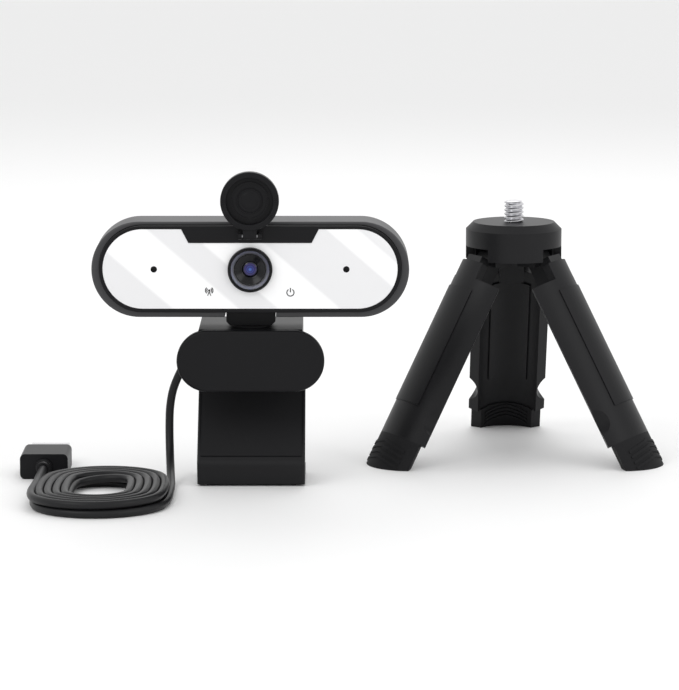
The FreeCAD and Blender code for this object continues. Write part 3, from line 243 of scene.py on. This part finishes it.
def slab(outline, front, back):
    """Points and faces of a flat outline in X and Z, thick from front to back along Y."""
    count = len(outline)
    points = [Vector((x, front, z)) for x, z in outline] + [Vector((x, back, z)) for x, z in outline]
    faces = [tuple(range(count)), tuple(range(2 * count - 1, count - 1, -1))]
    for step in range(count):
        following = (step + 1) % count
        faces.append((step, step + count, following + count, following))
    return points, faces


def arc_outline(across, up, radius, width, start, end, steps=24):
    """Outline of a thin arc, angles in degrees from +X."""
    angles = [math.radians(start + (end - start) * step / steps) for step in range(steps + 1)]
    outer = [(across + (radius + width / 2) * math.cos(a), up + (radius + width / 2) * math.sin(a))
             for a in angles]
    inner = [(across + (radius - width / 2) * math.cos(a), up + (radius - width / 2) * math.sin(a))
             for a in reversed(angles)]
    return outer + inner


def flat_marks(name, outlines, front, back, body, slot_name):
    """Several flat shapes as one piece."""
    points, faces = [], []
    for outline in outlines:
        more, sides = slab(outline, front, back)
        shift = len(points)
        points += more
        faces += [tuple(index + shift for index in side) for side in sides]
    return place_piece(name, make_mesh(name, points, faces), body, slot_name, smooth=0)


# ---------------------------------------------------------------- head details

PANEL_LOW, PANEL_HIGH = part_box("front_panel")
FACE = PANEL_LOW.y
MARK_THICK = 0.03 * MM
MARK_LINE = 0.30 * MM
MICROPHONE_ACROSS = 29.6 * MM
MICROPHONE_UP = 68.6 * MM


def touch_marks():
    """A broadcast mark at the left and a power mark at the right, printed on the panel."""
    across = -12.6 * MM
    up = 61.7 * MM
    dot = [(across + 0.34 * MM * math.cos(a), up + 0.35 * MM + 0.34 * MM * math.sin(a))
           for a in [2 * math.pi * step / 24 for step in range(24)]]
    foot = [(across - 0.62 * MM, up - 1.3 * MM), (across - 0.12 * MM, up + 0.1 * MM),
            (across + 0.12 * MM, up + 0.1 * MM), (across + 0.62 * MM, up - 1.3 * MM),
            (across + 0.36 * MM, up - 1.3 * MM), (across, up - 0.35 * MM),
            (across - 0.36 * MM, up - 1.3 * MM)]
    waves = [arc_outline(across, up + 0.35 * MM, radius * MM, MARK_LINE, middle - 48, middle + 48)
             for radius in (0.72, 1.16) for middle in (0, 180)]
    flat_marks("broadcast_mark", [dot, foot] + waves, FACE - MARK_THICK, FACE, "head", "black")
    across = 12.4 * MM
    up = 61.4 * MM
    ring = arc_outline(across, up, 1.1 * MM, MARK_LINE, 90 + 32, 90 + 328, steps=48)
    half = MARK_LINE / 2
    bar = [(across - half, up + 0.1 * MM), (across + half, up + 0.1 * MM),
           (across + half, up + 1.45 * MM), (across - half, up + 1.45 * MM)]
    flat_marks("power_mark", [ring, bar], FACE - MARK_THICK, FACE, "head", "black")


def lens_details():
    """Domed glass and the stepped black rings round it."""
    middle = Vector((LENS_AXIS.x, 0, LENS_AXIS.z))
    radius = 2.5 * MM
    rise = 0.75 * MM
    sphere = (radius ** 2 + rise ** 2) / (2 * rise)
    edge = 11.75 * MM
    dome = []
    for step in range(17):
        out = radius * (1 - step / 16)
        dome.append((edge + math.sqrt(sphere ** 2 - out ** 2) - (sphere - rise), max(out, 1e-6)))
    profile = [(10.8 * MM, 1e-6), (10.8 * MM, radius)] + dome
    glass = lathe("front_glass_dome", profile, middle, (0, -1, 0), "head", "coated_glass", closed=False)
    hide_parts("front_glass")
    for number in range(4):
        out = (3.0 + 0.45 * number) * MM
        along = (12.32 + 0.22 * number) * MM
        lathe("barrel_ring_%d" % number,
              [(along, out - 0.09 * MM), (along + 0.10 * MM, out - 0.04 * MM),
               (along + 0.10 * MM, out + 0.04 * MM), (along, out + 0.09 * MM)],
              middle, (0, -1, 0), "head", "lens_black")


def microphone_sleeves():
    """Dark sleeves that line the two sound holes."""
    for side, name in ((-1, "left"), (1, "right")):
        centre = Vector((side * MICROPHONE_ACROSS, 0, MICROPHONE_UP))
        lathe("sound_sleeve_" + name,
              [(11.55 * MM, 0.99 * MM), (12.98 * MM, 0.99 * MM), (12.9 * MM, 0.72 * MM),
               (11.55 * MM, 0.7 * MM)], centre, (0, -1, 0), "head", "lens_black", segments=48)
        lathe("sound_screen_" + name,
              [(11.52 * MM, 1e-6), (11.52 * MM, 0.98 * MM), (11.6 * MM, 0.98 * MM), (11.62 * MM, 1e-6)],
              centre, (0, -1, 0), "head", "chip_black", segments=48)


# ---------------------------------------------------------------- cover details

TONGUE_FRONT = -16.35 * MM
TONGUE_DOT_UP = 81.35 * MM
CAP_RADIUS = 9.0 * MM
CAP_RECESS_DEPTH = 1.2 * MM

def cover_details():
    """Rings, notches and the little inset on the inside of the open cover."""
    low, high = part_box("cover_cap")
    centre = Vector(((low.x + high.x) / 2, 0, high.z - CAP_RADIUS))
    floor = -(high.y - CAP_RECESS_DEPTH)
    segments = (("cover_ring_upper", 20, 160), ("cover_ring_left", 172, 262), ("cover_ring_right", 278, 368))
    for name, start, end in segments:
        outline = arc_outline(centre.x, centre.z, 5.6 * MM, 0.45 * MM, start, end, steps=40)
        flat_marks(name, [outline], -floor - 0.5 * MM, -floor, "cover", "black")
    lathe("cover_dimple", [(floor, 3.5 * MM), (floor + 0.35 * MM, 3.6 * MM), (floor + 0.35 * MM, 3.87 * MM),
                           (floor, 3.97 * MM)], centre, (0, -1, 0), "cover", "black")
    lathe("cover_button", [(floor, 1e-6), (floor, 2.6 * MM), (floor + 0.18 * MM, 2.3 * MM),
                           (floor + 0.22 * MM, 1e-6)], centre, (0, -1, 0), "cover", "black")
    front = low.y
    inset = [(centre.x + side * 1.15 * MM, up * MM) for side, up in
             ((-1, 79.6), (1, 79.6), (1, 81.9), (-1, 81.9))]
    flat_marks("tongue_inset", [inset], TONGUE_FRONT - 0.12 * MM, TONGUE_FRONT + 0.05 * MM,
               "cover", "black")
    face = -TONGUE_FRONT
    lathe("tongue_dot", [(face + 0.10 * MM, 1e-6), (face + 0.10 * MM, 0.32 * MM),
                         (face + 0.22 * MM, 0.26 * MM), (face + 0.24 * MM, 1e-6)],
          Vector((centre.x, 0, TONGUE_DOT_UP)), (0, -1, 0), "cover", "black", segments=24)
    notches = []
    for middle in (0, 180, 215, 325):
        for offset in (-4, 0, 4):
            notches.append(arc_outline(centre.x, centre.z, 8.0 * MM, 1.1 * MM,
                                       middle + offset - 0.9, middle + offset + 0.9, steps=4))
    flat_marks("cover_rim_ticks", notches, front - 0.12 * MM, front + 0.05 * MM, "cover", "black")


# ---------------------------------------------------------------- lead

CORD = 2.6 * MM
CORD_HOLE = 1.36 * MM
LEAD = [Vector(point) * MM for point in (
    (-20.9, 6.0, 36.6), (-24.2, 6.3, 30.6), (-25.9, 6.5, 23.4), (-26.1, 5.6, 15.6),
    (-25.8, 2.1, 8.4), (-25.3, -4.1, 3.4), (-24.8, -12.0, 1.35), (-24.6, -19.6, 1.3),
)]
EXIT = LEAD[0]
TAIL = [Vector(point) * MM for point in (
    (-65.5, -20.5, 3.9), (-65.7, -14.0, 3.6), (-65.55, -8.0, 3.7), (-65.45, -2.0, 4.0),
)]
RELIEF_START = Vector((-14.6, 6.0, 45.6)) * MM
COIL_CENTRE = Vector((-45.6, -30.0, 0)) * MM
COIL_STRAIGHT = 8.5 * MM
COIL_OUTER = 20.9 * MM
TURN_POINTS = 12
LAYER_TURNS = 4.75


def coil_points():
    """Flat racetrack turns: inwards on the floor, then outwards on top of them."""
    points = []
    per_layer = int(LAYER_TURNS * TURN_POINTS)
    inner = COIL_OUTER - CORD * LAYER_TURNS
    for index in range(2 * per_layer):
        if index < per_layer:
            radius = COIL_OUTER - CORD * index / TURN_POINTS
        else:
            radius = inner + CORD * (index - per_layer) / TURN_POINTS
        angle = -math.radians(15 + 30 * index)
        radius += 0.3 * MM * math.sin(2 * angle + 0.7)
        reach = radius / math.cos(math.radians(15))
        rise = min(1, max(0, (index - per_layer + 8) / 12))
        side = 1 if math.sin(angle) > 0 else -1
        points.append(COIL_CENTRE + Vector((
            reach * math.cos(angle),
            side * COIL_STRAIGHT + reach * math.sin(angle),
            CORD / 2 + CORD * rise * rise * (3 - 2 * rise),
        )))
    return points


def spline_length(curve):
    """Length of the smooth line through a curve's own points."""
    probe = bpy.data.objects.new("length_probe", curve)
    bpy.context.scene.collection.objects.link(probe)
    line = bpy.data.meshes.new_from_object(probe)
    length = sum((line.vertices[a].co - line.vertices[b].co).length for a, b in
                 (edge.vertices for edge in line.edges))
    bpy.data.objects.remove(probe)
    bpy.data.meshes.remove(line)
    return length


def make_cord():
    route = LEAD + coil_points() + TAIL
    curve = bpy.data.curves.new("usb_cord", "CURVE")
    curve.dimensions = "3D"
    spline = curve.splines.new("NURBS")
    spline.points.add(len(route) - 1)
    for point, place in zip(spline.points, route):
        point.co = (*place, 1)
    spline.order_u = 3
    spline.use_endpoint_u = True
    curve.resolution_u = 8
    length = spline_length(curve)
    print("cord length %.3f m" % length)
    curve.bevel_depth = CORD / 2
    curve.bevel_resolution = 6
    curve.use_fill_caps = True
    cord = place_piece("usb_cord", curve, "clip", "cord")
    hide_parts("cord_lead", "cord_coil", "cord_tail")
    return cord


def plug_details():
    """Ribbed sleeve where the cord enters the plug, and the names of the plug's pieces."""
    low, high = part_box("plug_relief")
    centre = Vector(((low.x + high.x) / 2, low.y, (low.z + high.z) / 2))
    half = (high.x - low.x) / 2
    long = high.y - low.y
    profile = [(0.0, CORD_HOLE), (0.0, half * 0.78)]
    for rib in range(3):
        start = long * (0.08 + 0.31 * rib)
        wide = half * (0.84 + 0.08 * rib)
        profile += [(start, wide), (start + long * 0.19, wide),
                    (start + long * 0.22, wide - 0.35 * MM), (start + long * 0.29, wide - 0.35 * MM)]
    profile += [(long, half * 0.95), (long, CORD_HOLE)]
    sleeve = lathe("plug_sleeve", profile, centre, (0, 1, 0), "clip", "cord", segments=48)
    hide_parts("plug_relief")
    return [sleeve, "plug_body", "plug_shell", "plug_insert", "plug_contacts"]


def exit_sleeve():
    """Tapered, ribbed strain relief where the cord leaves the clip's arm."""
    start = RELIEF_START
    along = EXIT - start
    long = along.length
    profile = [(0.0, CORD_HOLE), (0.0, 2.45 * MM)]
    ribs = 5
    for rib in range(ribs):
        begin = long * (0.30 + 0.14 * rib)
        wide = (2.45 - 0.6 * begin / long) * MM
        profile += [(begin, wide), (begin + 0.9 * MM, wide), (begin + 1.0 * MM, wide - 0.3 * MM),
                    (begin + 1.35 * MM, wide - 0.3 * MM)]
    profile += [(long, 1.62 * MM), (long, CORD_HOLE)]
    sleeve = lathe("exit_sleeve", profile, start, along, "clip", "cord", segments=48)
    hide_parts("strain_relief")


# ---------------------------------------------------------------- tripod details

STAND_LOW, STAND_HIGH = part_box("tripod_screw")
SCREW_RADIUS = 3.175 * MM
SHANK_RADIUS = 2.5 * MM
THREAD_PITCH = 1.27 * MM
THREAD_DEPTH = 0.72 * MM
STAND = Vector(((STAND_LOW.x + STAND_HIGH.x) / 2, (STAND_LOW.y + STAND_HIGH.y) / 2, 0))


def threaded_screw():
    """The tripod's 1/4-20 screw: a real thread above the hub and a plain shank inside it."""
    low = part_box("tripod_hub")[1].z
    high = STAND_HIGH.z
    segments = 48
    rows = 120
    points = []
    for row in range(rows + 1):
        height = low + (high - low) * row / rows
        for step in range(segments):
            angle = 2 * math.pi * step / segments
            phase = ((height - low) / THREAD_PITCH - step / segments) % 1.0
            crest = 1 - abs(2 * phase - 1)
            blend = min(1, max(0, (high - height) / (0.5 * MM)))
            thread = THREAD_DEPTH * (1 - min(1, 1.25 * crest))
            radius = SCREW_RADIUS - thread - 0.5 * MM * (1 - blend)
            points.append(STAND + Vector((radius * math.cos(angle), radius * math.sin(angle), height)))
    faces = []
    for row in range(rows):
        for step in range(segments):
            right = (step + 1) % segments
            faces.append((row * segments + step, row * segments + right,
                          (row + 1) * segments + right, (row + 1) * segments + step))
    faces.append(tuple(range(segments - 1, -1, -1)))
    faces.append(tuple(range(rows * segments, (rows + 1) * segments)))
    lathe("screw_shank", [(STAND_LOW.z, 1e-6), (STAND_LOW.z, SHANK_RADIUS), (low, SHANK_RADIUS),
                          (low, 1e-6)],
          STAND, (0, 0, 1), "tripod", "bare_metal", segments=32, closed=False)
    screw = place_piece("threaded_screw", make_mesh("threaded_screw", points, faces), "tripod",
                        "bare_metal", smooth=50)
    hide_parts("tripod_screw")


HEADINGS = {"left": 210, "right": 330, "back": 90}
SPREAD = math.radians(29.4)
HINGE_OUT = 8.5 * MM
HINGE_UP = 65.3 * MM
LEG_RADIUS = 15.3 * MM
LEG_INSIDE = 11.7 * MM
FOOT_INSIDE = 11.1 * MM


def leg_frame(heading):
    """From a leg's folded position, standing round the tripod's axis, to where it stands open."""
    hinge = Vector((HINGE_OUT, 0, HINGE_UP))
    swing = (Matrix.Translation(hinge) @ Matrix.Rotation(-SPREAD, 4, "Y") @ Matrix.Translation(-hinge))
    return Matrix.Translation(STAND) @ Matrix.Rotation(math.radians(heading), 4, "Z") @ swing


def curved_plate(name, place, half_angle, low, high, inner, outer, body, slot_name, chevron=0.0):
    """A plate that follows the leg's round, low to high along it; chevron bends it in a V."""
    steps = 16
    points = []
    for radius in (outer, inner):
        for step in range(steps + 1):
            angle = half_angle * (2 * step / steps - 1)
            drop = chevron * abs(2 * step / steps - 1)
            for height in (low, high):
                points.append(place @ Vector((radius * math.cos(angle), radius * math.sin(angle),
                                              height - drop)))
    faces = []
    across = 2 * (steps + 1)
    for step in range(steps):
        a, b, c, d = 2 * step, 2 * step + 1, 2 * step + 3, 2 * step + 2
        faces.append((a, d, c, b))
        faces.append((a + across, b + across, c + across, d + across))
        faces.append((a, a + across, d + across, d))
        faces.append((b, c, c + across, b + across))
    last = 2 * steps
    faces.append((0, 1, 1 + across, across))
    faces.append((last, last + across, last + 1 + across, last + 1))
    return place_piece(name, make_mesh(name, points, faces), body, slot_name)


def tripod_details():
    """Raised panels outside and inside each leg, and chevron ribs on both sides of its foot."""
    for name, heading in HEADINGS.items():
        place = leg_frame(heading)
        body = "tripod_" + name
        curved_plate("leg_panel_" + name, place, math.radians(26), HINGE_UP - 55 * MM,
                     HINGE_UP - 14 * MM, LEG_RADIUS - 0.2 * MM, LEG_RADIUS + 0.35 * MM, body, "stand_black")
        curved_plate("leg_inset_" + name, place, math.radians(34), HINGE_UP - 55 * MM,
                     HINGE_UP - 15 * MM, LEG_INSIDE - 0.55 * MM, LEG_INSIDE + 0.2 * MM, body, "stand_black")
        for rib in range(4):
            low = HINGE_UP - (67.6 + 1.5 * rib) * MM
            curved_plate("grip_rib_%s_%d" % (name, rib), place, math.radians(40), low, low + 0.7 * MM,
                         FOOT_INSIDE - 0.45 * MM, FOOT_INSIDE + 0.2 * MM, body, "rubber", chevron=1.5 * MM)
        for rib in range(4):
            low = HINGE_UP - (69.5 + 1.9 * rib) * MM
            curved_plate("foot_rib_%s_%d" % (name, rib), place, math.radians(36), low, low + 0.9 * MM,
                         LEG_RADIUS - 0.2 * MM, LEG_RADIUS + 0.3 * MM, body, "rubber", chevron=1.6 * MM)


# ---------------------------------------------------------------- stage

def make_stage():
    floor_mesh = make_mesh("floor", [(-4, -4, 0), (4, -4, 0), (4, 4, 0), (-4, 4, 0)], [(0, 1, 2, 3)])
    floor = bpy.data.objects.new("floor", floor_mesh)
    bpy.context.scene.collection.objects.link(floor)
    floor_mesh.materials.append(surface("pale_floor", (0.9, 0.9, 0.9), 0.7, variation=0.004, bump=0.0))
    world = bpy.data.worlds.new("studio")
    world.use_nodes = True
    world.node_tree.nodes["Background"].inputs["Color"].default_value = (1, 1, 1, 1)
    world.node_tree.nodes["Background"].inputs["Strength"].default_value = 0.93
    bpy.context.scene.world = world
    lights = (
        ("key", (-0.55, -0.55, 0.75), 0.5, 1.9),
        ("fill", (0.70, -0.50, 0.45), 0.4, 0.8),
        ("rim", (0.10, 0.70, 0.70), 0.5, 1.6),
    )
    for name, place, size, power in lights:
        lamp = bpy.data.lights.new(name, "AREA")
        lamp.size = size
        lamp.energy = power
        holder = bpy.data.objects.new(name, lamp)
        holder.location = place
        aim = Vector((0.03, 0, 0.05)) - Vector(place)
        holder.rotation_euler = aim.to_track_quat("-Z", "Y").to_euler()
        bpy.context.scene.collection.objects.link(holder)


def make_camera():
    """Nearly level and square to the front, as wide as the whole set."""
    data = bpy.data.cameras.new("camera")
    camera = bpy.data.objects.new("camera", data)
    bpy.context.scene.collection.objects.link(camera)
    width = 0.212
    distance = 1.1
    elevation = math.radians(9)
    target = Vector((0.0275, 0.0, 0.043))
    data.sensor_fit = "HORIZONTAL"
    data.lens = data.sensor_width * distance / width
    camera.location = target + Vector((0, -math.cos(elevation), math.sin(elevation))) * distance
    camera.rotation_euler = (target - camera.location).to_track_quat("-Z", "Y").to_euler()
    bpy.context.scene.camera = camera


touch_marks()
lens_details()
microphone_sleeves()
cover_details()
usb_cord = make_cord()
plug_pieces = plug_details()
exit_sleeve()
threaded_screw()
tripod_details()
make_stage()
make_camera()
bpy.context.scene.view_settings.view_transform = "Standard"
